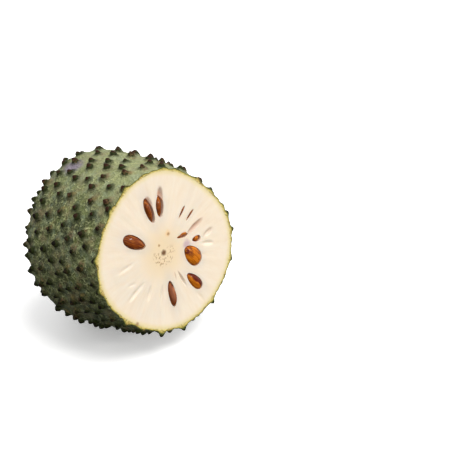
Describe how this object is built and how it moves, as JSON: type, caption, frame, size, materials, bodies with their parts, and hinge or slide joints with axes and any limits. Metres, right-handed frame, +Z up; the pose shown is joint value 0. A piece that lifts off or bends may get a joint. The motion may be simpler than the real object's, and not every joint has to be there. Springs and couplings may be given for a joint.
{
  "type": "soursop half",
  "caption": "Cut half of a soursop lying on its side: spiny green rind, white flesh with slits and glossy brown seeds in the cut face.",
  "frame": {"origin": "on the surface it rests on, under the middle of its box", "axes": "+Z up, -Y the way the cut face looks (it leans back 10.3 degrees), +Y towards the stalk end, +X to the right seen from the cut face"},
  "size_m": [0.1324, 0.125, 0.1334],
  "materials": {
    "rind": "satin, leathery, with dark spine tips",
    "flesh": "moist, slightly translucent",
    "seed": "glossy",
    "stalk": "rough bark"
  },
  "bodies": {
    "root": {"rind": "rind", "flesh": "flesh", "stalk_stub": "stalk", "seed_1": "seed", "seed_2": "seed", "seed_3": "seed", "seed_4": "seed", "seed_5": "seed", "seed_6": "seed", "seed_7": "seed", "seed_8": "seed", "seed_9": "seed", "seed_10": "seed"}
  },
  "joints": []
}
